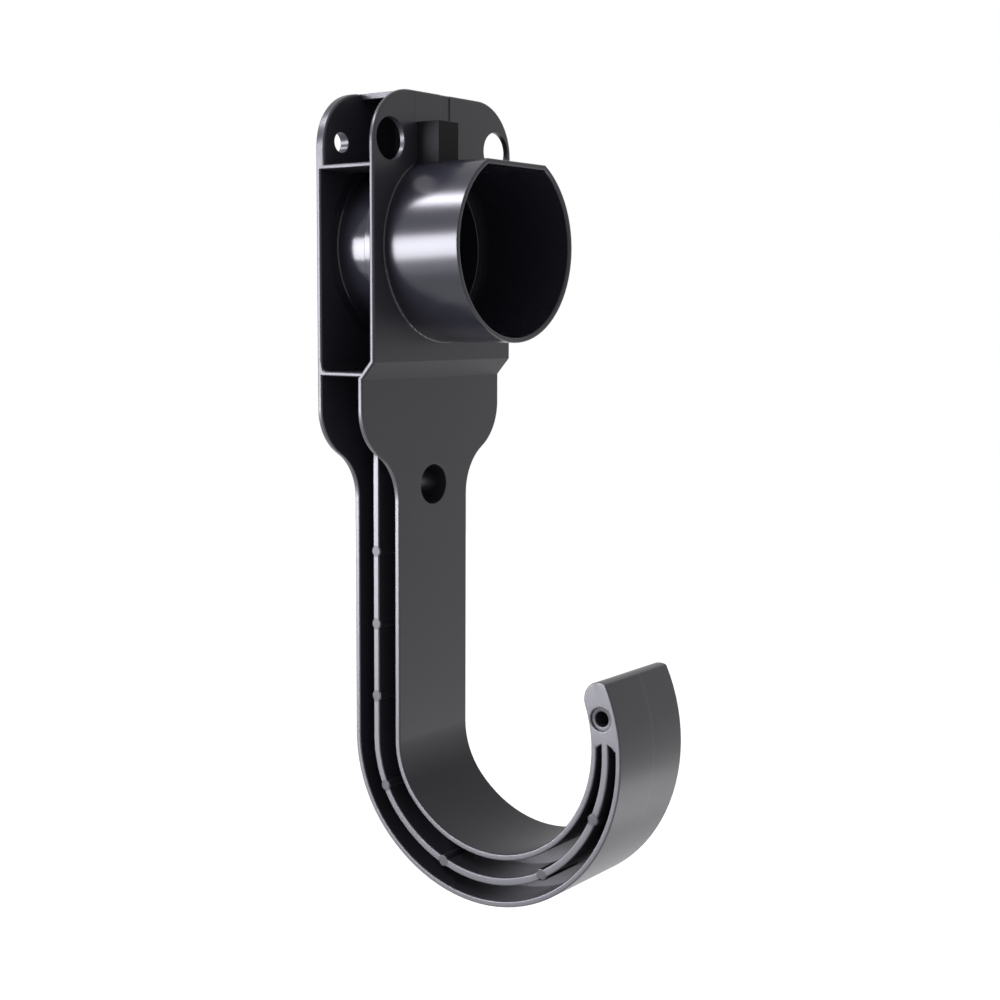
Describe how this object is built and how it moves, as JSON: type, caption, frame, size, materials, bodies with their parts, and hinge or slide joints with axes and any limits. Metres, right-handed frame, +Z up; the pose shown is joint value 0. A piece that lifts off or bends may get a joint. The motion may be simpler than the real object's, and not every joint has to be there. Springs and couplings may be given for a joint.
{
  "type": "ev connector holder",
  "caption": "Black moulded wall holder for an electric vehicle's charging connector, with a flat-topped round socket for the plug's nose and a ribbed J-hook for the cable.",
  "frame": {"origin": "on the wall plane, midway between the two upper screw holes", "axes": "+X to the right seen from the front, +Y into the wall, +Z up"},
  "size_m": [0.072, 0.1078, 0.2636],
  "materials": {
    "holder": "satin black, glossy on the socket and in the bores"
  },
  "bodies": {
    "root": {"holder": "holder"}
  },
  "joints": []
}
